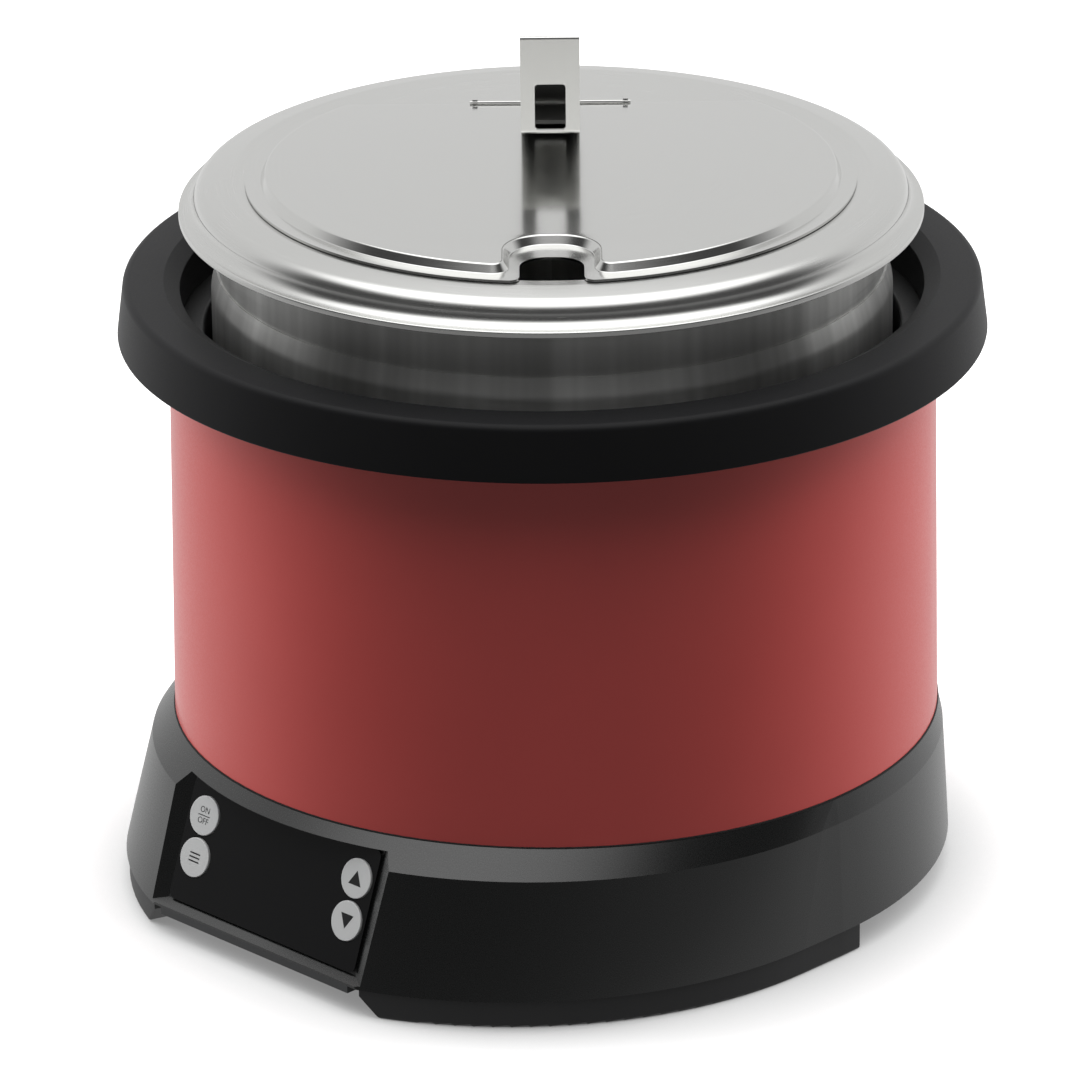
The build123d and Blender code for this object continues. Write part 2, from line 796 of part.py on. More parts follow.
sink_x = -(power_board_width - sink_width) / 2
with BuildPart() as heat_sink:
    with BuildSketch(base_plane(power_top_z)):
        with Locations((sink_x, -power_board_setback)):
            Rectangle(sink_width, sink_depth)
    extrude(amount=sink_base)
    with BuildSketch(base_plane(power_top_z + sink_base)):
        with Locations((sink_x, -power_board_setback)):
            fin_pitch = (sink_width - sink_fin_sheet) / (sink_fins - 1)
            with GridLocations(fin_pitch, 0, sink_fins, 1):
                Rectangle(sink_fin_sheet, sink_depth)
    extrude(amount=sink_height - sink_base)
heat_sink.part.label = "heat_sink"
export_step(heat_sink.part, "parts/heat_sink.step")

capacitor_x = sink_x + sink_width / 2 + 2 * capacitor_radius
with BuildPart() as capacitors:
    with BuildSketch(base_plane(power_top_z)):
        with Locations((capacitor_x, -power_board_setback)):
            with GridLocations(0, power_board_depth - 3 * capacitor_radius, 1, 2):
                Circle(capacitor_radius)
    extrude(amount=capacitor_height)
    fillet(capacitors.edges().group_by(Axis.Z)[-1], capacitor_radius / 8)
capacitors.part.label = "capacitors"
export_step(capacitors.part, "parts/capacitors.step")

choke_x = power_board_width / 2 - choke_radius
with BuildPart() as filter_choke:
    with BuildSketch(base_plane(power_top_z)):
        with Locations((choke_x, -power_board_setback)):
            Circle(choke_radius)
            Circle(choke_bore, mode=Mode.SUBTRACT)
    extrude(amount=choke_height)
filter_choke.part.label = "filter_choke"
export_step(filter_choke.part, "parts/filter_choke.step")

# Cooling fan over the pan's vents
fan_spot = (0, fan_setback)
fan_bore = fan_size / 2 - fan_wall
fan_hub_z = foot_height + fan_strut_depth + fit_gap
fan_hub_height = fan_depth - fan_strut_depth - 2 * fit_gap
with BuildPart() as fan_frame:
    with BuildSketch(base_plane(foot_height)):
        with Locations(fan_spot):
            RectangleRounded(fan_size, fan_size, fan_corner)
            Circle(fan_bore, mode=Mode.SUBTRACT)
    extrude(amount=fan_depth)
    with BuildSketch(base_plane(foot_height)):
        with Locations(fan_spot):
            Circle(fan_motor_radius)
            Rectangle(2 * fan_bore + fan_wall, fan_strut_width)
            Rectangle(fan_strut_width, 2 * fan_bore + fan_wall)
    extrude(amount=fan_strut_depth)
    with BuildSketch(base_plane(foot_height + fan_strut_depth)):
        with Locations(fan_spot):
            Circle(fan_shaft_radius)
    extrude(amount=fan_depth - fan_strut_depth - fan_wall)
fan_frame.part.label = "fan_frame"
export_step(fan_frame.part, "parts/fan_frame.step")

blade_length = fan_bore - fan_tip_gap - fan_motor_radius + fan_blade_sheet
blade_middle = fan_motor_radius - fan_blade_sheet + blade_length / 2
with BuildPart(base_plane(fan_hub_z)) as fan_rotor:
    with Locations((*fan_spot, fan_hub_height / 2)):
        Cylinder(fan_motor_radius, fan_hub_height)
        with PolarLocations(blade_middle, fan_blade_count):
            Box(blade_length, fan_blade_sheet, fan_blade_height, rotation=(fan_blade_tilt, 0, 0))
        Cylinder(fan_shaft_radius + hinge_gap, fan_hub_height, mode=Mode.SUBTRACT)
fan_rotor.part.label = "fan_rotor"
export_step(fan_rotor.part, "parts/fan_rotor.step")

# Cord gland in the rear wall, held by a nut inside
with BuildPart() as cord_gland:
    with BuildSketch(gland_plane.offset(gland_seat + gland_pad)):
        Circle(gland_flange_radius)
    extrude(amount=gland_flange)
    with BuildSketch(gland_plane.offset(gland_seat + gland_pad)):
        Circle(gland_radius)
    extrude(amount=-gland_length)
    with BuildSketch(gland_plane.offset(gland_seat)):
        Circle(gland_bore)
    extrude(amount=2 * gland_length, both=True, mode=Mode.SUBTRACT)
cord_gland.part.label = "cord_gland"
export_step(cord_gland.part, "parts/cord_gland.step")

with BuildPart() as gland_nut:
    with BuildSketch(gland_plane.offset(gland_seat + gland_pad - gland_pad_depth)):
        RegularPolygon(gland_flange_radius, 6)
        Circle(gland_radius + screw_gap, mode=Mode.SUBTRACT)
    extrude(amount=-gland_nut_sheet)
gland_nut.part.label = "gland_nut"
export_step(gland_nut.part, "parts/gland_nut.step")

# Inset: the stainless pot
neck_z = rim_z - neck_height
inset_inner = inset_radius - inset_wall
neck_inner = neck_radius - inset_wall
with BuildPart() as inset:
    with BuildSketch(Plane.XZ):
        rounded_section(
            (0, inset_bottom_z, 0),
            (inset_radius, inset_bottom_z, inset_corner),
            (inset_radius, neck_z - belly_fall, belly_round),
            (neck_radius + neck_ledge, neck_z, 0),
            (neck_radius, neck_z, 0),
            (neck_radius, rim_z - inset_wall, rim_round),
            (rim_radius, rim_z - inset_wall, 0),
            (rim_radius, rim_z, 0),
            (neck_inner, rim_z, rim_round + inset_wall),
            (neck_inner, neck_z, 0),
            (inset_inner, neck_z - belly_fall, belly_round),
            (inset_inner, inset_bottom_z + inset_wall, inset_corner - inset_wall),
            (0, inset_bottom_z + inset_wall, 0),
        )
    revolve(axis=Axis.Z)
inset.part.label = "inset"
export_step(inset.part, "parts/inset.step")

# Lid frame: rim, crown and the fixed rear segment, with the door's opening
door_chord = hinge_setback + hinge_margin
hole_radius = door_radius - door_lap


def round_cut_by_chord(radius, chord, mode=Mode.ADD):
    """A disc with its rear cut straight."""
    with BuildSketch(mode=Mode.PRIVATE) as disc:
        with Locations((0, -door_shift)):
            Circle(radius)
        with Locations((0, chord + radius)):
            Rectangle(3 * radius, 2 * radius, mode=Mode.SUBTRACT)
    add(disc.sketch, mode=mode)


with BuildPart() as lid_frame:
    with BuildSketch(Plane.XZ):
        rounded_section(
            (lid_radius, lid_flange_z - lid_hem_depth, lid_overhang / 4),
            (lid_radius, lid_flange_z, lid_overhang / 2),
            (crown_radius, lid_flange_z, crown_foot_round),
            (crown_radius, crown_edge_z, crown_round),
            (crown_flat_radius, crown_z, crown_bend),
            (0, crown_z, 0),
            (0, crown_z - lid_sheet, 0),
            (crown_flat_radius, crown_z - lid_sheet, crown_bend - lid_sheet),
            (crown_radius - lid_sheet, crown_edge_z - lid_sheet, crown_round - lid_sheet),
            (crown_radius - lid_sheet, rim_z, crown_foot_round / 2),
            (lid_radius - lid_overhang, rim_z, 0),
            (lid_radius - lid_overhang, lid_flange_z - lid_hem_depth, lid_overhang / 4),
        )
    revolve(axis=Axis.Z)
    with BuildSketch(Plane.XY.offset(crown_z)):
        round_cut_by_chord(hole_radius, door_chord + door_gap)
    extrude(amount=-lid_sheet, mode=Mode.SUBTRACT)
lid_frame.part.label = "lid_frame"
export_step(lid_frame.part, "parts/lid_frame.step")

# Lid door: one pressed sheet with a raised plateau and a ladle notch
notch_length = 2 * notch_depth
plateau_radius = door_radius - door_flange
plateau_chord = door_chord - door_rear_flange


def door_notch(widen, shelf=0):
    """The ladle notch, widened on all sides and set back by a shelf."""
    with Locations((0, widen + shelf - notch_reach - notch_length / 2)):
        RectangleRounded(
            notch_width + 2 * widen, notch_length, notch_corner + widen, mode=Mode.SUBTRACT
        )


def plateau_section(z, inset):
    """The plateau's outline at a height, drawn in by a distance."""
    with BuildSketch(Plane.XY.offset(z), mode=Mode.PRIVATE) as flat:
        round_cut_by_chord(plateau_radius - inset, plateau_chord - inset)
        door_notch(notch_flange + inset, notch_shelf)
        ends = flat.vertices().sort_by(Axis.Y)
        fillet(ends[:2] + ends[-2:], plateau_corner - inset)
    return flat.sketch


draft = tan(radians(plateau_draft))
plateau_foot_z = door_z + lid_sheet
bevel_inset = (plateau_rise - plateau_bevel) * draft
crest_inset = bevel_inset + plateau_bevel / draft
hollow_inset = lid_sheet / cos(radians(plateau_draft)) - lid_sheet * draft
with BuildPart() as lid_door:
    with BuildSketch(Plane.XY.offset(door_z)) as door_outline:
        round_cut_by_chord(door_radius, hinge_setback - door_rear_flange)
        round_cut_by_chord(hole_radius - fit_gap, door_chord)
        door_notch(0)
        mouth = door_outline.vertices().sort_by(Axis.Y)[:2]
        fillet(mouth, notch_mouth_round)
    extrude(amount=lid_sheet)
    plateau_sections = [
        plateau_section(plateau_foot_z, 0),
        plateau_section(plateau_z - plateau_bevel, bevel_inset),
        plateau_section(plateau_z, crest_inset),
    ]
    loft(plateau_sections, ruled=True)
    hollow_sections = [
        plateau_section(door_z, hollow_inset),
        plateau_section(plateau_z - lid_sheet, hollow_inset + plateau_rise * draft),
    ]
    loft(hollow_sections, ruled=True, mode=Mode.SUBTRACT)
lid_door.part.label = "lid_door"
export_step(lid_door.part, "parts/lid_door.step")

# Hinge wire and the two clips that hold it to the lid frame
hinge_plane = Plane(origin=(0, hinge_setback, hinge_z), x_dir=(0, 1, 0), z_dir=(1, 0, 0))
with BuildPart() as hinge_wire:
    with BuildSketch(hinge_plane):
        Circle(wire_radius)
    extrude(amount=wire_length / 2, both=True)
hinge_wire.part.label = "hinge_wire"
export_step(hinge_wire.part, "parts/hinge_wire.step")

clip_leg = hinge_z - crown_z
clip_bore = wire_radius + hinge_gap
with BuildPart() as wire_clips:
    for side in (-1, 1):
        with BuildSketch(hinge_plane.offset(side * (wire_length / 2 - clip_width))):
            Circle(clip_bore + clip_wall)
            with Locations((0, -clip_bore - clip_wall)):
                Rectangle(4 * clip_bore, 2 * (clip_bore + clip_wall), mode=Mode.SUBTRACT)
            with Locations((-clip_bore - clip_wall, 0)):
                Rectangle(2 * (clip_bore + clip_wall), 4 * clip_bore, mode=Mode.SUBTRACT)
            with Locations((clip_reach / 2, clip_wall / 2)):
                Rectangle(clip_reach, clip_wall)
            with Locations((clip_reach - clip_wall / 2, (clip_wall - clip_leg) / 2)):
                Rectangle(clip_wall, clip_leg + clip_wall)
            with Locations((clip_reach + clip_foot / 2 - clip_wall, clip_wall / 2 - clip_leg)):
                Rectangle(clip_foot, clip_wall)
            Circle(clip_bore, mode=Mode.SUBTRACT)
        extrude(amount=clip_width / 2, both=True)
wire_clips.part.label = "wire_clips"
export_step(wire_clips.part, "parts/wire_clips.step")

# Handle strap: a closed loop, curled round the wire and welded to the door
barrel_bore = wire_radius + hinge_gap
barrel_radius = barrel_bore + strap_sheet
loop_rear = hinge_setback - barrel_radius
lip_y = hinge_setback - handle_reach
plate_rise = handle_height - handle_lip_height
top_y = lip_y - plate_rise * tan(radians(handle_lean))
window_z = plateau_z + handle_lip_height + window_lip
with BuildPart() as handle_strap:
    with BuildSketch(Plane.YZ) as strap_loop:
        rounded_section(
            (loop_rear, plateau_z, strap_sheet / 2),
            (hinge_setback - handle_foot, plateau_z, handle_ramp_fold),
            (lip_y, plateau_z + handle_lip_height, handle_fold),
            (top_y, plateau_z + handle_height, handle_top_fold),
            (top_y + handle_top, plateau_z + handle_height, handle_rear_fold),
            (loop_rear, plateau_z + 2 * strap_sheet, strap_sheet / 2),
        )
        offset(amount=-strap_sheet, mode=Mode.SUBTRACT)
        with Locations((hinge_setback, hinge_z)):
            Circle(barrel_radius)
        with Locations((hinge_setback - barrel_radius, plateau_z + strap_sheet / 2)):
            Rectangle(2 * barrel_radius, strap_sheet)
        with Locations((hinge_setback, plateau_z - barrel_radius)):
            Rectangle(2 * handle_foot, 2 * barrel_radius, mode=Mode.SUBTRACT)
        with Locations((hinge_setback, hinge_z)):
            Circle(barrel_bore, mode=Mode.SUBTRACT)
        with Locations((hinge_setback, plateau_z)):
            Rectangle(2 * barrel_bore, 2 * barrel_bore, mode=Mode.SUBTRACT)
    extrude(amount=strap_width / 2, both=True)
    with BuildSketch(Plane.XZ.offset(-lip_y - 2 * strap_sheet)):
        with Locations((0, window_z + window_height / 2)):
            RectangleRounded(window_width, window_height, window_corner)
    extrude(amount=plate_rise, mode=Mode.SUBTRACT)
    with BuildSketch(Plane.XY.offset(window_z)):
        with Locations((0, lip_y + (rear_window_near + rear_window_far) / 2)):
            RectangleRounded(window_width, rear_window_far - rear_window_near, window_corner)
    extrude(amount=handle_height, mode=Mode.SUBTRACT)
    with BuildSketch(Plane.XY.offset(window_z)):
        with Locations((0, lip_y + (ramp_window_near + ramp_window_far) / 2)):
            RectangleRounded(window_width, ramp_window_far - ramp_window_near, window_corner)
    extrude(amount=window_lip - window_z + plateau_z, mode=Mode.SUBTRACT)
handle_strap.part.label = "handle_strap"
export_step(handle_strap.part, "parts/handle_strap.step")
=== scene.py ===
# %% [markdown]
# A soup warmer for the counter, dressed in Blender
# The imported model already holds every solid in its place, in metres, so this
# lesson only gives those solids their finishes, turns the round pieces again
# with smoother edges, and adds the small marks that are easier to draw here.
# A first helper puts a new object into the scene.

# %% Load the imported model
import bpy
import bmesh
import json
import math
from mathutils import Matrix, Vector
from mathutils.geometry import tessellate_polygon


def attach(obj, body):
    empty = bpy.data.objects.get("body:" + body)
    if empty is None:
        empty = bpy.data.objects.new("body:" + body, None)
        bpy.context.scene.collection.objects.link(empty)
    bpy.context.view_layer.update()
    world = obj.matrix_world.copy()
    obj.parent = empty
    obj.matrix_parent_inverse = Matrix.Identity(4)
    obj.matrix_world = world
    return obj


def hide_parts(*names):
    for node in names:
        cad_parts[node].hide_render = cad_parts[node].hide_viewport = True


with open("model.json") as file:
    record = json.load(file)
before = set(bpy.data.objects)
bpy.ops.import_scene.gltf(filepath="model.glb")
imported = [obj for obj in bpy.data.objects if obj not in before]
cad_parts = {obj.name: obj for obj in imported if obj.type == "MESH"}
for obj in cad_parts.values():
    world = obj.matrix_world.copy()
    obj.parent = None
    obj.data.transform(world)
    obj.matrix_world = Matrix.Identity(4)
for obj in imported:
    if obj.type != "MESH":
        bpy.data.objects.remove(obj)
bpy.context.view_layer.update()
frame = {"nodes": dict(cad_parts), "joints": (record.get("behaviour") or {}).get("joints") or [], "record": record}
scene = bpy.context.scene


def add_object(name, data):
    made = bpy.data.objects.new(name, data)
    scene.collection.objects.link(made)
    return made


# %% [markdown]
# The camera
# A product photograph is mostly taken from far away with a long lens, which
# keeps the rims of a round pot as calm ellipses. The place and lens below were
# found by fitting the ellipses of the lid, the ring and the base, so the camera
# is set from three turns: down, sideways and a slight roll.

# %% Camera
def aim_camera(place, down, sideways, roll, lens):
    c, s = math.cos(sideways), math.sin(sideways)
    cd, sd = math.cos(down), math.sin(down)
    right = Vector((c, -s, 0.0))
    up = Vector((s * sd, c * sd, cd))
    ahead = Vector((s * cd, c * cd, -sd))
    across = right * math.cos(roll) + up * math.sin(roll)
    upward = up * math.cos(roll) - right * math.sin(roll)
    turn = Matrix((across, upward, -ahead)).transposed().to_4x4()
    data = bpy.data.cameras.new("photo_camera")
    data.lens = lens
    data.sensor_width = 36.0
    data.clip_start = 0.05
    data.clip_end = 60.0
    camera = add_object("photo_camera", data)
    camera.matrix_world = Matrix.Translation(place) @ turn
    return camera


scene.camera = aim_camera(place=(0.0, -3.0, 1.354), down=math.radians(22.15),
                          sideways=math.radians(-0.111), roll=math.radians(-0.62), lens=271.3)
scene.view_settings.view_transform = "Standard"
print("camera at", tuple(scene.camera.location))


# %% [markdown]
# Nodes in few words
# Every finish below is a small tree of shader nodes. A few helpers keep the trees readable: one puts a node down
# and fills its sockets, one joins two sockets, one makes a soft ramp between two levels, and one starts a finish
# with an empty tree. Colours are given as screen values, while the renderer reckons in linear light, so one more
# helper turns one into the other, and the last makes a colour lighter or darker.

# %% Node helpers
def put(tree, kind, values=None, **settings):
    made = tree.nodes.new(kind)
    for key, value in settings.items():
        setattr(made, key, value)
    for key, value in (values or {}).items():
        made.inputs[key].default_value = value
    return made


def join(tree, source, out, target, into):
    tree.links.new(source.outputs[out], target.inputs[into])


def ramp(tree, first, last, low=0.0, high=1.0):
    return put(tree, "ShaderNodeMapRange",
               {"From Min": first, "From Max": last, "To Min": low, "To Max": high},
               interpolation_type="SMOOTHSTEP")


def new_finish(name):
    finish = bpy.data.materials.new(name)
    finish.use_nodes = True
    tree = finish.node_tree
    tree.nodes.clear()
    return finish, tree, put(tree, "ShaderNodeOutputMaterial")


def screen(red, green, blue):
    linear = []
    for level in (red, green, blue):
        part = level / 255.0
        linear.append(part / 12.92 if part <= 0.04045 else ((part + 0.055) / 1.055) ** 2.4)
    return (linear[0], linear[1], linear[2], 1.0)


def shade(colour, factor):
    return tuple(min(1.0, part * factor) for part in colour[:3]) + (1.0,)


print("screen grey 128 is", round(screen(128, 128, 128)[0], 3), "in linear light")


# %% [markdown]
# The room
# Shiny things show the room, so the room is half of the picture. Behind the
# warmer hangs a bright backdrop, which the lid mirrors, and a round soft light
# fills the ceiling. In front and beside it, low down, the room is dark, and
# that keeps the black plastic black and lines the steel. The level follows
# the direction, and the camera itself sees plain white.

# %% World
def make_world(front, back, side, high):
    world = bpy.data.worlds.new("studio")
    world.use_nodes = True
    tree = world.node_tree
    tree.nodes.clear()
    end = put(tree, "ShaderNodeOutputWorld")
    path = put(tree, "ShaderNodeLightPath")
    way = put(tree, "ShaderNodeTexCoord")
    split = put(tree, "ShaderNodeSeparateXYZ")
    either = put(tree, "ShaderNodeMath", operation="ABSOLUTE")
    behind = ramp(tree, -0.15, 0.40, front, back)
    beside = ramp(tree, 0.48, 0.72, front, side)
    above = ramp(tree, 0.62, 0.90, front, high)
    walls = put(tree, "ShaderNodeMath", operation="MAXIMUM")
    level = put(tree, "ShaderNodeMath", operation="MAXIMUM")
    room = put(tree, "ShaderNodeBackground")
    white = put(tree, "ShaderNodeBackground", {"Color": (1, 1, 1, 1), "Strength": 1.0})
    choose = put(tree, "ShaderNodeMixShader")
    join(tree, way, "Generated", split, "Vector")
    join(tree, split, "X", either, 0)
    join(tree, split, "Y", behind, "Value")
    join(tree, either, 0, beside, "Value")
    join(tree, split, "Z", above, "Value")
    join(tree, behind, 0, walls, 0)
    join(tree, beside, 0, walls, 1)
    join(tree, walls, 0, level, 0)
    join(tree, above, 0, level, 1)
    join(tree, level, 0, room, "Strength")
    join(tree, path, "Is Camera Ray", choose, 0)
    join(tree, room, 0, choose, 1)
    join(tree, white, 0, choose, 2)
    join(tree, choose, 0, end, "Surface")
    return world


scene.world = make_world(front=0.07, back=1.0, side=0.08, high=2.6)
print("world:", scene.world.name)


# %% [markdown]
# The lamps
# The ceiling already shades the shell under the ring and lights the bevel of
# the base. A large lamp behind each shoulder makes the red glow towards both
# edges, as a shell lit from the sides does. Mirrors don't see the lamps, so
# they leave no white patch on the steel.

# %% Lamps
def soft_lamp(name, place, target, width, height, power):
    data = bpy.data.lights.new(name, "AREA")
    data.shape = "RECTANGLE"
    data.size = width
    data.size_y = height
    data.energy = power
    lamp = add_object(name, data)
    lamp.location = place
    lamp.rotation_euler = (Vector(target) - Vector(place)).to_track_quat("-Z", "Y").to_euler()
    lamp.visible_glossy = False


for name, side in (("left_shoulder_lamp", -1.0), ("right_shoulder_lamp", 1.0)):
    soft_lamp(name, place=(side * 1.5, 0.5, 0.75), target=(0.0, 0.0, 0.2),
              width=1.0, height=1.4, power=24.0)


# %% [markdown]
# The table
# A white table in a photograph is lit until it melts into the background, yet the object keeps a soft shadow under
# it. To the camera, part of the floor's white is painted and takes the shadow. Close to the object an occlusion
# node darkens that paint further, a painted contact shadow, and the rest is a glow. The object mirrors a floor
# with levels of its own: a table that reaches about half a metre out and brightens towards the back, and past it a
# floor that is dim in front and light behind. To soft light the floor is a plain grey.

# %% Floor
def seen_floor(tree, painted, glow):
    matt = put(tree, "ShaderNodeBsdfDiffuse")
    # Painted contact shadow: the occlusion node darkens the floor's paint where the object stands close over it.
    occlusion = put(tree, "ShaderNodeAmbientOcclusion", {"Distance": 0.05}, samples=12)
    painted_contact_shadow = put(tree, "ShaderNodeMapRange",
               {"From Min": 0.35, "To Min": painted * 0.45, "To Max": painted})
    light = put(tree, "ShaderNodeEmission", {"Color": (1, 1, 1, 1), "Strength": glow})
    both = put(tree, "ShaderNodeAddShader")
    join(tree, occlusion, "AO", painted_contact_shadow, "Value")
    join(tree, painted_contact_shadow, 0, matt, "Color")
    join(tree, matt, 0, both, 0)
    join(tree, light, 0, both, 1)
    return both


def mirrored_floor(tree, dim, bright, white):
    where = put(tree, "ShaderNodeTexCoord")
    reach = put(tree, "ShaderNodeVectorMath", operation="LENGTH")
    split = put(tree, "ShaderNodeSeparateXYZ")
    past = ramp(tree, -0.70, 0.80, dim, white)
    close = ramp(tree, -0.35, 0.10, bright * 0.3, bright)
    fade = ramp(tree, 0.42, 0.66)
    light = put(tree, "ShaderNodeEmission", {"Color": (1, 1, 1, 1)})
    join(tree, where, "Object", split, 0)
    join(tree, split, "Y", past, "Value")
    join(tree, split, "Y", close, "Value")
    join(tree, close, 0, fade, "To Min")
    join(tree, past, 0, fade, "To Max")
    join(tree, where, "Object", reach, 0)
    join(tree, reach, "Value", fade, "Value")
    join(tree, fade, 0, light, "Strength")
    return light


def make_floor(size, painted, glow, dim, bright, white, bounce):
    paint, tree, end = new_finish("table_white")
    path = put(tree, "ShaderNodeLightPath")
    felt = put(tree, "ShaderNodeBsdfDiffuse", {"Color": (bounce, bounce, bounce, 1.0)})
    unseen = put(tree, "ShaderNodeMixShader")
    choose = put(tree, "ShaderNodeMixShader")
    join(tree, path, "Is Glossy Ray", unseen, 0)
    join(tree, felt, 0, unseen, 1)
    join(tree, mirrored_floor(tree, dim, bright, white), 0, unseen, 2)
    join(tree, path, "Is Camera Ray", choose, 0)
    join(tree, unseen, 0, choose, 1)
    join(tree, seen_floor(tree, painted, glow), 0, choose, 2)
    join(tree, choose, 0, end, "Surface")
    sheet = bpy.data.meshes.new("table_top")
    half = size / 2.0
    corners = [(-half, -half, 0.0), (half, -half, 0.0), (half, half, 0.0), (-half, half, 0.0)]
    sheet.from_pydata(corners, [], [(0, 1, 2, 3)])
    sheet.materials.append(paint)
    floor = add_object("table_top", sheet)
    return floor


table = make_floor(size=14.0, painted=0.88, glow=0.22, dim=0.26, bright=0.80, white=0.85,
                   bounce=0.16)
print("table:", table.dimensions[:])


# %% [markdown]
# Moulded plastics and paints
# Moulded pieces are never one even colour: the tool leaves a fine grain, the
# colour drifts a little from spot to spot, and the gloss changes too. Two
# noises do that: a broad one for the drift, and a fine one for the gloss and
# for a bump so shallow that it only breaks up the highlights.

# %% Moulded finish
def moulded(name, colour, rough, grain=1400.0, drift=0.10, depth=0.00002,
            coat=0.0, coat_rough=0.1, specular=0.5):
    finish, tree, end = new_finish(name)
    body = put(tree, "ShaderNodeBsdfPrincipled",
               {"Coat Weight": coat, "Coat Roughness": coat_rough,
                "Specular IOR Level": specular})
    where = put(tree, "ShaderNodeTexCoord")
    fine = put(tree, "ShaderNodeTexNoise", {"Scale": grain, "Detail": 3.0, "Roughness": 0.6})
    broad = put(tree, "ShaderNodeTexNoise", {"Scale": 38.0, "Detail": 4.0, "Roughness": 0.55})
    tint = put(tree, "ShaderNodeMix",
               {6: shade(colour, 1.0 - drift), 7: shade(colour, 1.0 + drift)}, data_type="RGBA")
    gloss = put(tree, "ShaderNodeMapRange", {"To Min": rough * 0.82, "To Max": rough * 1.18})
    relief = put(tree, "ShaderNodeBump", {"Strength": 0.35, "Distance": depth})
    for noise in (fine, broad):
        join(tree, where, "Object", noise, "Vector")
    join(tree, broad, 0, tint, 0)
    join(tree, tint, 2, body, "Base Color")
    join(tree, fine, 0, gloss, "Value")
    join(tree, gloss, 0, body, "Roughness")
    join(tree, fine, 0, relief, "Height")
    join(tree, relief, 0, body, "Normal")
    join(tree, body, 0, end, "Surface")
    return finish


soft_black = screen(30, 30, 31)
finishes = {
    "housing_plastic": moulded("satin_black_moulding", screen(14, 15, 15), 0.28, specular=0.9),
    "ring_plastic": moulded("ring_black_moulding", soft_black, 0.44, specular=0.1),
    "foot_plastic": moulded("foot_black_moulding", soft_black, 0.50),
    "well_plastic": moulded("well_black_moulding", soft_black, 0.48),
    "inner_plastic": moulded("inner_grey_moulding", screen(92, 93, 94), 0.55),
    "switch_plastic": moulded("switch_black_moulding", screen(30, 30, 30), 0.45),
    "rotor_plastic": moulded("rotor_black_moulding", screen(33, 33, 34), 0.42),
    "gland_plastic": moulded("gland_black_moulding", soft_black, 0.42),
    "gasket_rubber": moulded("gasket_rubber", screen(16, 16, 16), 0.72, grain=900.0),
    "pad_rubber": moulded("pad_rubber", screen(36, 36, 36), 0.75, grain=900.0),
    "pan_paint": moulded("pan_grey_paint", screen(58, 59, 60), 0.50, depth=0.00004),
    "ferrite": moulded("ferrite_sinter", screen(48, 47, 46), 0.62, grain=2200.0, drift=0.2),
    "choke_core": moulded("choke_green_coating", screen(60, 92, 70), 0.45),
    "insulation": moulded("white_fibre_board", screen(216, 212, 200), 0.80, depth=0.00006),
    "capacitor_sleeve": moulded("capacitor_blue_sleeve", screen(38, 52, 96), 0.35),
    "board_laminate": moulded("board_green_laminate", screen(34, 92, 58), 0.40),
    "display_dark": moulded("display_smoked_face", screen(14, 14, 16), 0.15, coat=0.5),
    "overlay_gloss": moulded("overlay_black_gloss", screen(14, 14, 15), 0.14, depth=0.000004,
                             coat=0.4, coat_rough=0.05),
    "key_silver": moulded("key_silver_paint", screen(192, 193, 193), 0.40, drift=0.03),
}
print("plain finishes:", len(finishes))


# %% [markdown]
# The red shell
# The shell is a sheet band with baked red paint under a clear coat. What the
# eye reads as paint is a red that drifts very slightly, tiny flakes under the
# coat that differ in gloss, and a faint ripple of the paint that softens the
# bright lines along the edges.

# %% Red shell finish
def baked_red(name, colour, rough):
    finish, tree, end = new_finish(name)
    body = put(tree, "ShaderNodeBsdfPrincipled",
               {"Coat Weight": 0.5, "Coat Roughness": 0.14, "Coat IOR": 1.5,
                "Specular IOR Level": 0.3})
    where = put(tree, "ShaderNodeTexCoord")
    flake = put(tree, "ShaderNodeTexVoronoi", {"Scale": 2600.0})
    broad = put(tree, "ShaderNodeTexNoise", {"Scale": 22.0, "Detail": 4.0})
    tint = put(tree, "ShaderNodeMix", {6: shade(colour, 0.95), 7: shade(colour, 1.05)},
               data_type="RGBA")
    spark = put(tree, "ShaderNodeMapRange", {"To Min": rough * 0.8, "To Max": rough * 1.2})
    ripple = put(tree, "ShaderNodeTexNoise", {"Scale": 260.0, "Detail": 2.0})
    relief = put(tree, "ShaderNodeBump", {"Strength": 0.25, "Distance": 0.00002})
    for noise in (flake, broad, ripple):
        join(tree, where, "Object", noise, "Vector")
    join(tree, broad, 0, tint, 0)
    join(tree, tint, 2, body, "Base Color")
    join(tree, flake, "Color", spark, "Value")
    join(tree, spark, 0, body, "Roughness")
    join(tree, ripple, 0, relief, "Height")
    join(tree, relief, 0, body, "Normal")
    join(tree, body, 0, end, "Surface")
    return finish


finishes["shell_red"] = baked_red("shell_baked_red", screen(200, 76, 72), 0.45)
print("shell:", finishes["shell_red"].name)


# %% [markdown]
# Steel with a direction
# The pot and the lid are spun from sheet steel and then rubbed on a lathe, so fine lines run round the axis. Polar
# coordinates give them: the distance from the axis and the height stay sharp, and the angle is stretched. The
# handle is rubbed along its length instead, so it gets straight lines. The third helper paints faint upright
# streaks round a wall: lighter and darker bands in the colour, a painted reflection.

# %% Rubbing lines
angle_share = 0.0012


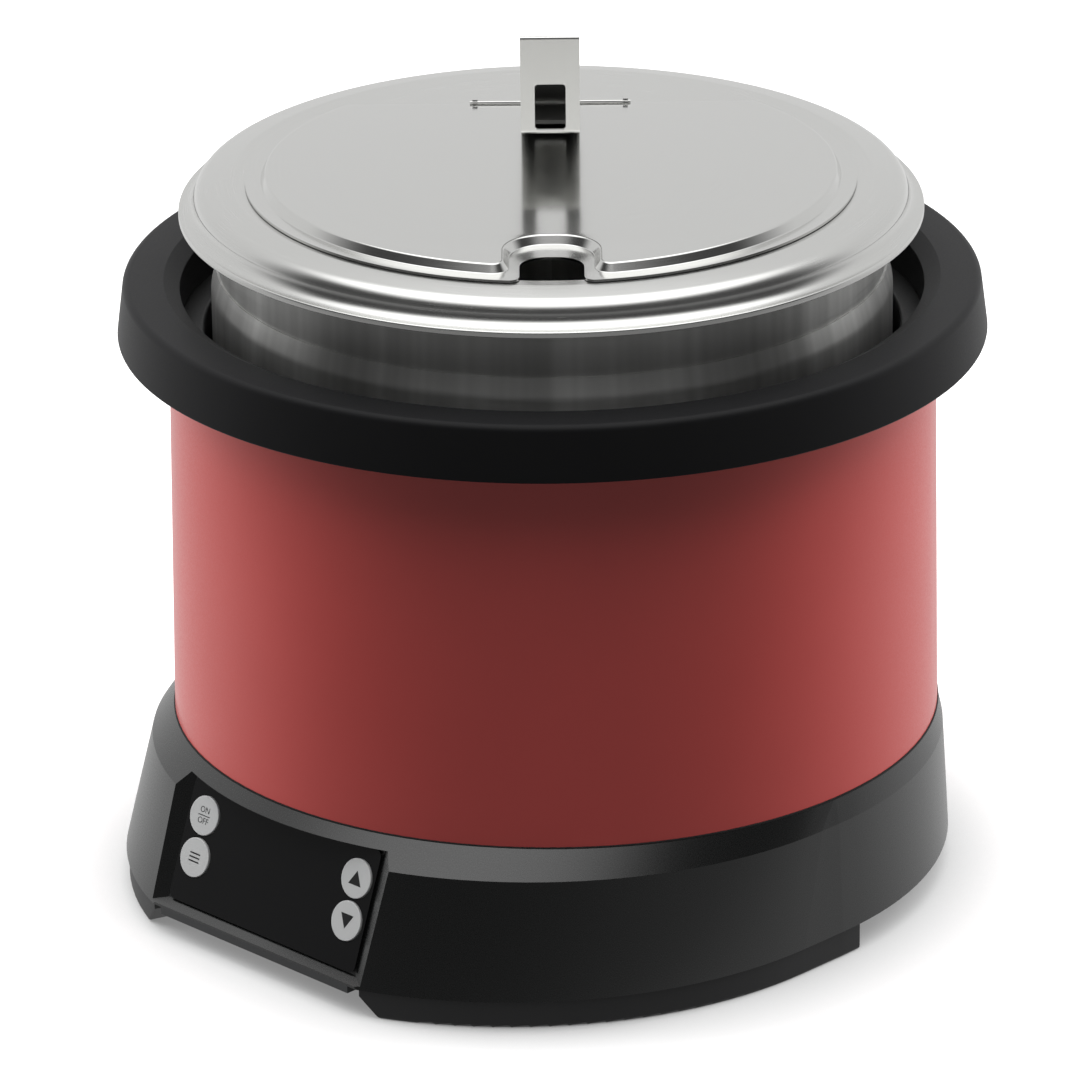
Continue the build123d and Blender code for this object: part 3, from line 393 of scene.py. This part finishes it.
def lathe_lines(tree, where):
    flat = put(tree, "ShaderNodeVectorMath", {1: (1.0, 1.0, 0.0)}, operation="MULTIPLY")
    reach = put(tree, "ShaderNodeVectorMath", operation="LENGTH")
    split = put(tree, "ShaderNodeSeparateXYZ")
    angle = put(tree, "ShaderNodeMath", operation="ARCTAN2")
    slow = put(tree, "ShaderNodeMath", {1: angle_share}, operation="MULTIPLY")
    turned = put(tree, "ShaderNodeCombineXYZ")
    join(tree, where, "Object", flat, 0)
    join(tree, flat, 0, reach, 0)
    join(tree, where, "Object", split, 0)
    join(tree, split, "Y", angle, 0)
    join(tree, split, "X", angle, 1)
    join(tree, angle, 0, slow, 0)
    join(tree, reach, "Value", turned, "X")
    join(tree, slow, 0, turned, "Y")
    join(tree, split, "Z", turned, "Z")
    return turned


def long_lines(tree, where):
    pulled = put(tree, "ShaderNodeMapping", {"Scale": (1.0, 0.03, 0.03)})
    join(tree, where, "Object", pulled, "Vector")
    return pulled


# Painted reflection: a slow noise round the axis darkens the colour in upright bands, in place of the reflections
# that a rubbed wall pulls upright.
def painted_reflection_streaks(tree, where, strength):
    split = put(tree, "ShaderNodeSeparateXYZ")
    turned = put(tree, "ShaderNodeMath", {1: -1.0}, operation="MULTIPLY")
    angle = put(tree, "ShaderNodeMath", operation="ARCTAN2")
    noise = put(tree, "ShaderNodeTexNoise", {"Scale": 4.5, "Detail": 3.0, "Roughness": 0.7},
                noise_dimensions="1D")
    level = put(tree, "ShaderNodeMapRange", {"From Min": 0.35, "From Max": 0.65,
                                             "To Min": 1.0 - strength, "To Max": 1.0})
    join(tree, where, "Object", split, 0)
    join(tree, split, "Y", turned, 0)
    join(tree, split, "X", angle, 0)
    join(tree, turned, 0, angle, 1)
    join(tree, angle, 0, noise, "W")
    join(tree, noise, 0, level, "Value")
    return level


print("rubbing lines: round the axis, or straight, and upright streaks")


# %% [markdown]
# Steel, rubbed
# The lines tint the steel, change its gloss and leave a very shallow relief.
# A second, cloudy noise stands for the smears of wiping. On the pot, and less so on the lid, the rubbing is coarse
# enough to pull every reflection into an upright band. The shader's own anisotropy does that, with its grain
# turned round the axis. On the pot, upright streaks painted into the colour add a painted reflection of such bands
# as well.

# %% Steel finishes
rub_pitch = 2600.0
rub_depth = 0.000006
quarter_turn = 0.25


def rubbed_steel(name, colour, rough, lines, pull=0.0, painted_reflection_bands=0.0):
    finish, tree, end = new_finish(name)
    body = put(tree, "ShaderNodeBsdfPrincipled", {"Metallic": 1.0})
    where = put(tree, "ShaderNodeTexCoord")
    along = lines(tree, where)
    rub = put(tree, "ShaderNodeTexNoise", {"Scale": rub_pitch, "Detail": 4.0, "Roughness": 0.65})
    smear = put(tree, "ShaderNodeTexNoise", {"Scale": 30.0, "Detail": 5.0, "Roughness": 0.6})
    tint = put(tree, "ShaderNodeMix", {6: shade(colour, 0.95), 7: shade(colour, 1.04)},
               data_type="RGBA")
    gloss = put(tree, "ShaderNodeMapRange", {"To Min": rough * 0.75, "To Max": rough * 1.25})
    cloud = put(tree, "ShaderNodeMapRange", {"To Min": -0.03, "To Max": 0.03})
    total = put(tree, "ShaderNodeMath", operation="ADD")
    relief = put(tree, "ShaderNodeBump", {"Strength": 0.4, "Distance": rub_depth})
    join(tree, along, "Vector", rub, "Vector")
    join(tree, where, "Object", smear, "Vector")
    join(tree, rub, 0, tint, 0)
    tinted = tint
    # Painted reflection: on the pot the colour is darkened in upright streaks round the axis.
    if painted_reflection_bands:
        tinted = put(tree, "ShaderNodeMix", {0: 1.0}, data_type="RGBA", blend_type="MULTIPLY")
        join(tree, tint, 2, tinted, 6)
        join(tree, painted_reflection_streaks(tree, where, painted_reflection_bands), 0, tinted, 7)
    join(tree, tinted, 2, body, "Base Color")
    join(tree, rub, 0, gloss, "Value")
    join(tree, smear, 0, cloud, "Value")
    join(tree, gloss, 0, total, 0)
    join(tree, cloud, 0, total, 1)
    join(tree, total, 0, body, "Roughness")
    join(tree, rub, 0, relief, "Height")
    join(tree, relief, 0, body, "Normal")
    if pull:
        body.inputs["Anisotropic"].default_value = pull
        body.inputs["Anisotropic Rotation"].default_value = quarter_turn
        grain = put(tree, "ShaderNodeTangent", direction_type="RADIAL", axis="Z")
        join(tree, grain, 0, body, "Tangent")
    join(tree, body, 0, end, "Surface")
    return finish


steel = screen(212, 212, 210)
finishes.update({
    "inset_steel": rubbed_steel("pot_spun_steel", steel, 0.40, lathe_lines, pull=0.85, painted_reflection_bands=0.3),
    "lid_steel": rubbed_steel("lid_spun_steel", steel, 0.25, lathe_lines, pull=0.5),
    "door_steel": rubbed_steel("door_polished_steel", steel, 0.15, lathe_lines),
    "handle_steel": rubbed_steel("handle_polished_steel", steel, 0.24, long_lines),
    "wire_steel": rubbed_steel("hinge_bright_wire", steel, 0.20, long_lines),
    "screw_steel": rubbed_steel("screw_plated_steel", screen(186, 186, 184), 0.30, long_lines),
    "spring_steel": rubbed_steel("spring_steel", screen(176, 176, 174), 0.28, long_lines),
    "sensor_metal": rubbed_steel("sensor_nickel", screen(196, 194, 186), 0.22, lathe_lines),
    "sink_aluminium": rubbed_steel("sink_extruded_aluminium", screen(190, 191, 192), 0.36,
                                   long_lines),
    "coil_copper": rubbed_steel("coil_lacquered_copper", screen(186, 112, 70), 0.32, lathe_lines),
})
print("finishes:", len(finishes))


# %% [markdown]
# Dressing the solids
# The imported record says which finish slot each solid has, so one loop can
# hand every solid its material.

# %% Give each solid its finish
slots = {entry["node"]: entry["material_slot"] for entry in frame["record"]["subparts"]}


def dress(node):
    solid = frame["nodes"][node]
    finish = finishes[slots[node]]
    if not solid.material_slots:
        solid.data.materials.append(finish)
    for slot in solid.material_slots:
        slot.material = finish


for node in slots:
    dress(node)
print("dressed solids:", len(slots))


# %% [markdown]
# A lathe made of nodes
# The ring, the pot and the lid are round, and each is known by the half
# section that a turner would cut. A section is a closed line of corners, and
# every corner carries its own rounding. One tree of geometry nodes rounds the
# corners and sweeps the line round the axis, much as clay goes round on a
# wheel. The result becomes a plain mesh with even rows of faces, so a
# highlight runs along an edge without a break.

# %% The lathe
lathe_reach = 0.1
lathe_segments = 256
weld_distance = 0.000002


def build_lathe():
    tree = bpy.data.node_groups.new("lathe", "GeometryNodeTree")
    tree.interface.new_socket("Section", in_out="INPUT", socket_type="NodeSocketGeometry")
    tree.interface.new_socket("Segments", in_out="INPUT", socket_type="NodeSocketInt")
    tree.interface.new_socket("Corner Steps", in_out="INPUT", socket_type="NodeSocketInt")
    tree.interface.new_socket("Finish", in_out="INPUT", socket_type="NodeSocketMaterial")
    tree.interface.new_socket("Piece", in_out="OUTPUT", socket_type="NodeSocketGeometry")
    start = put(tree, "NodeGroupInput")
    rounding = put(tree, "GeometryNodeInputRadius")
    corners = put(tree, "GeometryNodeFilletCurve", mode="POLY")
    wheel = put(tree, "GeometryNodeCurvePrimitiveCircle", {"Radius": lathe_reach})
    sweep = put(tree, "GeometryNodeCurveToMesh")
    weld = put(tree, "GeometryNodeMergeByDistance", {"Distance": weld_distance})
    dip = put(tree, "GeometryNodeSetMaterial")
    end = put(tree, "NodeGroupOutput")
    join(tree, start, "Section", corners, "Curve")
    join(tree, start, "Corner Steps", corners, "Count")
    join(tree, rounding, 0, corners, "Radius")
    join(tree, start, "Segments", wheel, "Resolution")
    join(tree, wheel, 0, sweep, "Curve")
    join(tree, corners, 0, sweep, "Profile Curve")
    join(tree, sweep, 0, weld, 0)
    join(tree, weld, 0, dip, 0)
    join(tree, start, "Finish", dip, "Material")
    join(tree, dip, 0, end, 0)
    return tree


lathe = build_lathe()
print("lathe nodes:", len(lathe.nodes))


# %% [markdown]
# Turning a piece
# A section is written in millimetres as reach from the axis, height and
# rounding, going round against the clock. The sweep measures from its wheel
# and turns heights over, so both are put right when the points are set. When a
# later step changes a piece, the result is settled into a plain mesh again.

# %% Turn a section into a piece
def plain_mesh(holder, name):
    bpy.context.view_layer.update()
    ready = holder.evaluated_get(bpy.context.evaluated_depsgraph_get())
    mesh = bpy.data.meshes.new_from_object(ready)
    mesh.name = name
    return mesh


def settle(piece, step):
    mesh = plain_mesh(piece, piece.name)
    piece.modifiers.remove(step)
    piece.data = mesh
    return mesh


def soften(mesh, degrees):
    mesh.shade_smooth()
    mesh.set_sharp_from_angle(angle=math.radians(degrees))


turned_sharp = 32.0


def turn_piece(name, section, finish, steps=7):
    line = bpy.data.curves.new(name + "_section", "CURVE")
    line.dimensions = "3D"
    spline = line.splines.new("POLY")
    spline.points.add(len(section) - 1)
    for point, (reach, height, rounding) in zip(spline.points, section[::-1]):
        point.co = (reach / 1000.0 - lathe_reach, -height / 1000.0, 0.0, 1.0)
        point.radius = rounding / 1000.0
    spline.use_cyclic_u = True
    holder = add_object(name + "_section", line)
    step = holder.modifiers.new("lathe", "NODES")
    step.node_group = lathe
    inputs = {one.name: one.identifier for one in lathe.interface.items_tree
              if one.in_out == "INPUT"}
    step[inputs["Segments"]] = lathe_segments
    step[inputs["Corner Steps"]] = steps
    step[inputs["Finish"]] = finish
    mesh = plain_mesh(holder, name)
    bpy.data.objects.remove(holder)
    bpy.data.curves.remove(line)
    soften(mesh, turned_sharp)
    return add_object(name, mesh)


def stand_for(piece, node, body):
    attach(piece, body)
    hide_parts(node)
    print(piece.name, len(piece.data.polygons), "faces, stands for", node)


# %% [markdown]
# The ring and the pot
# The ring is moulded like an upturned channel: a sloped outer skirt with a soft
# shoulder, a flat top, and an inner lip with a chamfer that leads the pot in.
# The pot is thin sheet, with a rounded shoulder, a fine step, a straight neck
# and a flat rim that carries the lid.

# %% Turn the ring and the pot
ring = turn_piece("ring_turned", [
    (171.2, 224.8, 0.8), (168.4, 247.0, 3.0), (152.5, 247.0, 0.8), (146.0, 243.5, 0.8),
    (146.0, 229.0, 0.0), (149.4, 229.0, 0.0), (149.4, 242.0, 0.0), (165.03, 242.0, 0.8),
    (167.2, 224.8, 0.8)], finishes["ring_plastic"])
stand_for(ring, "top_ring", "unit")

pot = turn_piece("pot_turned", [
    (0.0, 89.9, 0.0), (133.8, 89.9, 10.0), (133.8, 244.4, 12.0), (131.7, 252.4, 0.0),
    (131.0, 252.4, 0.0), (131.0, 273.8, 3.0), (144.2, 273.8, 0.0), (144.2, 275.0, 0.0),
    (129.8, 275.0, 4.2), (129.8, 252.4, 0.0), (132.6, 244.4, 12.0), (132.6, 91.1, 8.8),
    (0.0, 91.1, 0.0)], finishes["inset_steel"])
stand_for(pot, "inset", "inset")


# %% [markdown]
# The lid's frame
# The frame is turned as a closed cap with a hem, a rounded crown and a deck
# that falls a little towards its edge. On the real lid a press then knocks out
# the opening for the door: a circle with a straight rear edge. Here a block of
# that outline is taken away with a boolean step.

# %% Turn the frame and cut its opening
door_middle = -0.0055


def disc_cut_straight(radius, middle, chord, count=160):
    ends = math.asin((chord - middle) / radius)
    sweep = math.pi + 2.0 * ends
    turns = [ends - sweep * i / count for i in range(count + 1)]
    return [(radius * math.cos(turn), middle + radius * math.sin(turn)) for turn in turns[::-1]]


def block(name, outline, low, high):
    builder = bmesh.new()
    floor = [builder.verts.new((x, y, low)) for x, y in outline]
    roof = [builder.verts.new((x, y, high)) for x, y in outline]
    builder.faces.new(floor[::-1])
    builder.faces.new(roof)
    for i in range(len(outline)):
        k = (i + 1) % len(outline)
        builder.faces.new((floor[i], floor[k], roof[k], roof[i]))
    mesh = bpy.data.meshes.new(name)
    builder.to_mesh(mesh)
    builder.free()
    return add_object(name, mesh)


lid = turn_piece("lid_turned", [
    (145.9, 273.5, 0.35), (145.9, 276.0, 0.7), (139.8, 276.0, 5.0), (139.8, 285.1, 6.0),
    (125.5, 287.5, 10.0), (0.0, 287.5, 0.0), (0.0, 286.5, 0.0), (125.5, 286.5, 9.0),
    (138.8, 284.1, 5.0), (138.8, 275.0, 2.5), (144.5, 275.0, 0.0), (144.5, 273.5, 0.35)],
    finishes["lid_steel"])
opening = disc_cut_straight(radius=0.1154, middle=door_middle, chord=0.0757)
punch = block("door_punch", opening, low=0.284, high=0.290)
knock = lid.modifiers.new("opening", "BOOLEAN")
knock.object = punch
knock.operation = "DIFFERENCE"
knock.solver = "EXACT"
soften(settle(lid, knock), turned_sharp)
bpy.data.objects.remove(punch)
stand_for(lid, "lid_frame", "lid")


# %% [markdown]
# The outline of the door's plateau
# The door is pressed from one sheet: a flange lies on the frame and a plateau
# stands up inside it, with a notch for the ladle at the front. The plateau's
# foot is a chain of straight runs and arcs, so each run is written once for
# the right half, as points with the way inwards, and the left half is its
# mirror image.

# %% Plateau outline
def arc(centre, radius, first, last, count, inward):
    made = []
    for i in range(count + 1):
        turn = first + (last - first) * i / count
        c, s = math.cos(turn), math.sin(turn)
        made.append((centre[0] + radius * c, centre[1] + radius * s, inward * c, inward * s))
    return made


def run(first, last, count, inward):
    (x, y), (to_x, to_y) = first, last
    return [(x + (to_x - x) * i / count, y + (to_y - y) * i / count, *inward)
            for i in range(count + 1)]


def right_half(radius, middle, chord, half, back, corner, mouth, rear):
    mouth_y = middle - math.sqrt((radius - mouth) ** 2 - (half + mouth) ** 2)
    mouth_turn = math.atan2(mouth_y - middle, half + mouth)
    rear_x = math.sqrt((radius - rear) ** 2 - (chord - rear - middle) ** 2)
    rear_turn = math.atan2(chord - rear - middle, rear_x)
    right = math.pi / 2.0
    chain = run((0.0, back), (half - corner, back), 6, (0.0, 1.0))
    chain += arc((half - corner, back - corner), corner, right, 0.0, 14, 1.0)
    chain += run((half, back - corner), (half, mouth_y), 6, (1.0, 0.0))
    chain += arc((half + mouth, mouth_y), mouth, -math.pi, mouth_turn, 14, -1.0)
    chain += arc((0.0, middle), radius, mouth_turn, rear_turn, 120, -1.0)
    chain += arc((rear_x, chord - rear), rear, rear_turn, right, 10, -1.0)
    chain += run((rear_x, chord), (0.0, chord), 40, (0.0, -1.0))
    return chain


def both_halves(chain):
    whole = []
    for x, y, nx, ny in chain + [(-x, y, -nx, ny) for x, y, nx, ny in chain[::-1]]:
        if not whole or abs(x - whole[-1][0]) + abs(y - whole[-1][1]) > 1e-7:
            whole.append((x, y, nx, ny))
    return whole[:-1]


plateau = both_halves(right_half(
    radius=0.1134, middle=door_middle, chord=0.0727, half=0.0165, back=-0.0849,
    corner=0.0147, mouth=0.006, rear=0.006))
print("plateau outline:", len(plateau), "points")


# %% [markdown]
# Pressing the door
# A press leaves a small hollow at the foot of the wall, a straight and rather
# steep wall, and a rounded crest. The outline is copied inwards ring by ring
# and lifted along that profile, the flange and the plateau are filled flat,
# and a solidify step gives the sheet its thickness. At the rear the flange goes
# on as a slightly narrower tail, for the hinge.

# %% Press the door
pressed_sharp = 40.0


def flat_fill(builder, loops):
    flat = [vertex for loop in loops for vertex in loop]
    for a, b, c in tessellate_polygon([[vertex.co for vertex in loop] for loop in loops]):
        corners = [flat[a], flat[b], flat[c]]
        if (corners[1].co - corners[0].co).cross(corners[2].co - corners[0].co).z < 0.0:
            corners.reverse()
        builder.faces.new(corners)


def wall_profile(rise, lean, hollow, crest, steps):
    width = rise / math.tan(lean)
    tangent = math.tan(lean / 2.0)
    turns = [lean * k / steps for k in range(steps + 1)]
    low = [(hollow * (math.sin(t) - tangent), hollow * (1.0 - math.cos(t))) for t in turns]
    high = [(width + crest * (tangent - math.sin(t)), rise - crest * (1.0 - math.cos(t)))
            for t in turns]
    return low + high[::-1]


def flange_outline(chord, tail_chord, tail_reach, step=0.0001):
    edge = right_half(radius=0.1194, middle=door_middle, chord=chord, half=0.0123, back=-0.0986,
                      corner=0.0105, mouth=0.004, rear=0.0004)
    side = [point for point in edge if point[1] < chord - step]
    tail = arc((0.0, door_middle), tail_reach, math.asin((chord - door_middle) / tail_reach),
               math.asin((tail_chord - door_middle) / tail_reach), 8, -1.0)
    ledge = (tail[0][0] + step, chord, 0.0, 0.0)
    return both_halves(side + [ledge] + tail + [(0.0, tail_chord, 0.0, -1.0)])


def press_door(name, foot, profile, rim, sheet):
    builder = bmesh.new()
    rings = [[builder.verts.new((x + nx * inwards, y + ny * inwards, foot + lift))
              for x, y, nx, ny in plateau] for inwards, lift in profile]
    count = len(plateau)
    for low, high in zip(rings, rings[1:]):
        for i in range(count):
            k = (i + 1) % count
            builder.faces.new((low[i], low[k], high[k], high[i]))
    flange = [builder.verts.new((x, y, foot)) for x, y, _, _ in rim]
    flat_fill(builder, [flange, rings[0]])
    flat_fill(builder, [rings[-1]])
    mesh = bpy.data.meshes.new(name)
    builder.to_mesh(mesh)
    builder.free()
    door = add_object(name, mesh)
    thick = door.modifiers.new("sheet", "SOLIDIFY")
    thick.thickness = sheet
    thick.offset = -1.0
    solid = settle(door, thick)
    soften(solid, pressed_sharp)
    solid.materials.append(finishes["door_steel"])
    return door


wall = wall_profile(rise=0.0035, lean=math.radians(60.0), hollow=0.0006, crest=0.0011, steps=6)
flange_rim = flange_outline(chord=0.0683, tail_chord=0.0742, tail_reach=0.1151)
door = press_door("door_pressed", foot=0.2888, profile=wall, rim=flange_rim, sheet=0.001)
stand_for(door, "lid_door", "door")


# %% [markdown]
# The seam
# Between the red shell and the base lies a thin black line, where a soft bead
# keeps spills out of the housing. It goes on the same lathe.

# %% Seam bead
bead = turn_piece("seam_bead", [
    (152.5, 66.7, 0.0), (153.15, 66.7, 0.2), (153.15, 67.5, 0.3), (152.5, 67.6, 0.0)],
    finishes["gasket_rubber"], steps=4)
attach(bead, "unit")
print(bead.name, len(bead.data.polygons), "faces")


# %% [markdown]
# Marks on the keys
# Each key carries one small printed mark that says what it does. A mark is a
# flat piece a few hundredths of a millimetre thick, drawn in the key's own
# plane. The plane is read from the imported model: the key's joint says which way
# it is pressed, and its outermost points give the middle of its face.

# %% The plane of a key
face_slack = 0.00002


def key_plane(joint_name, node):
    joint = [one for one in frame["joints"] if one["name"] == joint_name][0]
    out = -Vector(joint["axis"]).normalized()
    across = Vector((-out.y, out.x, 0.0)).normalized()
    upward = out.cross(across)
    points = [vertex.co for vertex in frame["nodes"][node].data.vertices]
    top = max(point.dot(out) for point in points)
    cap = [point for point in points if point.dot(out) > top - face_slack]
    middle = sum(cap, Vector()) / len(cap)
    place = Matrix((across, upward, out)).transposed().to_4x4()
    return Matrix.Translation(middle) @ place


print("power key faces", key_plane("power_press", "button_power").col[2][:3])


# %% [markdown]
# Drawing the marks
# The arrows and bars are a few corners each, pushed out to a thin plate. The
# two words on the power key come from Blender's own font: the text is turned
# into a mesh first and then laid into the key's plane with the rest.

# %% Flat plates and words
mark_thick = 0.00004


def plate(builder, corners):
    low = [builder.verts.new((x, y, -mark_thick / 4)) for x, y in corners]
    high = [builder.verts.new((x, y, mark_thick)) for x, y in corners]
    builder.faces.new(high)
    builder.faces.new(low[::-1])
    for i in range(len(corners)):
        k = (i + 1) % len(corners)
        builder.faces.new((low[i], low[k], high[k], high[i]))


def bar(builder, y, width, height):
    plate(builder, [(-width / 2, y - height / 2), (width / 2, y - height / 2),
                    (width / 2, y + height / 2), (-width / 2, y + height / 2)])


def word(builder, text, size, y):
    curve = bpy.data.curves.new("word", "FONT")
    curve.body = text
    curve.size = size
    curve.align_x = "CENTER"
    curve.align_y = "CENTER"
    curve.extrude = mark_thick / 2
    holder = add_object("word", curve)
    flat = plain_mesh(holder, "word")
    flat.transform(Matrix.Translation((0.0, y, mark_thick / 4)))
    builder.from_mesh(flat)
    bpy.data.objects.remove(holder)
    bpy.data.curves.remove(curve)
    bpy.data.meshes.remove(flat)


ink = moulded("key_black_ink", screen(22, 22, 23), 0.55, grain=3000.0)
print("ink:", ink.name)


# %% [markdown]
# The four marks
# Power gets its two words with a bar between them, the function key three
# bars, and the other two keys an arrow up and an arrow down.

# %% Draw one mark on each key
word_size, word_rise = 0.0034, 0.0022
bar_pitch = 0.0016
arrow_half, arrow_foot, arrow_tip = 0.0034, 0.0027, 0.0031


def power_mark(builder):
    word(builder, "ON", word_size, word_rise)
    bar(builder, y=0.0, width=0.0064, height=0.00035)
    word(builder, "OFF", word_size, -word_rise)


def function_mark(builder):
    for step in (-1, 0, 1):
        bar(builder, y=step * bar_pitch, width=0.0056, height=0.0006)


def up_mark(builder):
    plate(builder, [(-arrow_half, -arrow_foot), (arrow_half, -arrow_foot), (0.0, arrow_tip)])


def down_mark(builder):
    plate(builder, [(-arrow_half, arrow_foot), (0.0, -arrow_tip), (arrow_half, arrow_foot)])


for key, draw in (("power", power_mark), ("function", function_mark),
                  ("up", up_mark), ("down", down_mark)):
    builder = bmesh.new()
    draw(builder)
    builder.transform(key_plane(key + "_press", "button_" + key))
    mesh = bpy.data.meshes.new(key + "_mark")
    builder.to_mesh(mesh)
    builder.free()
    mesh.materials.append(ink)
    mark = add_object(key + "_mark", mesh)
    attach(mark, key + "_key")
    print(mark.name, len(mesh.polygons), "faces")
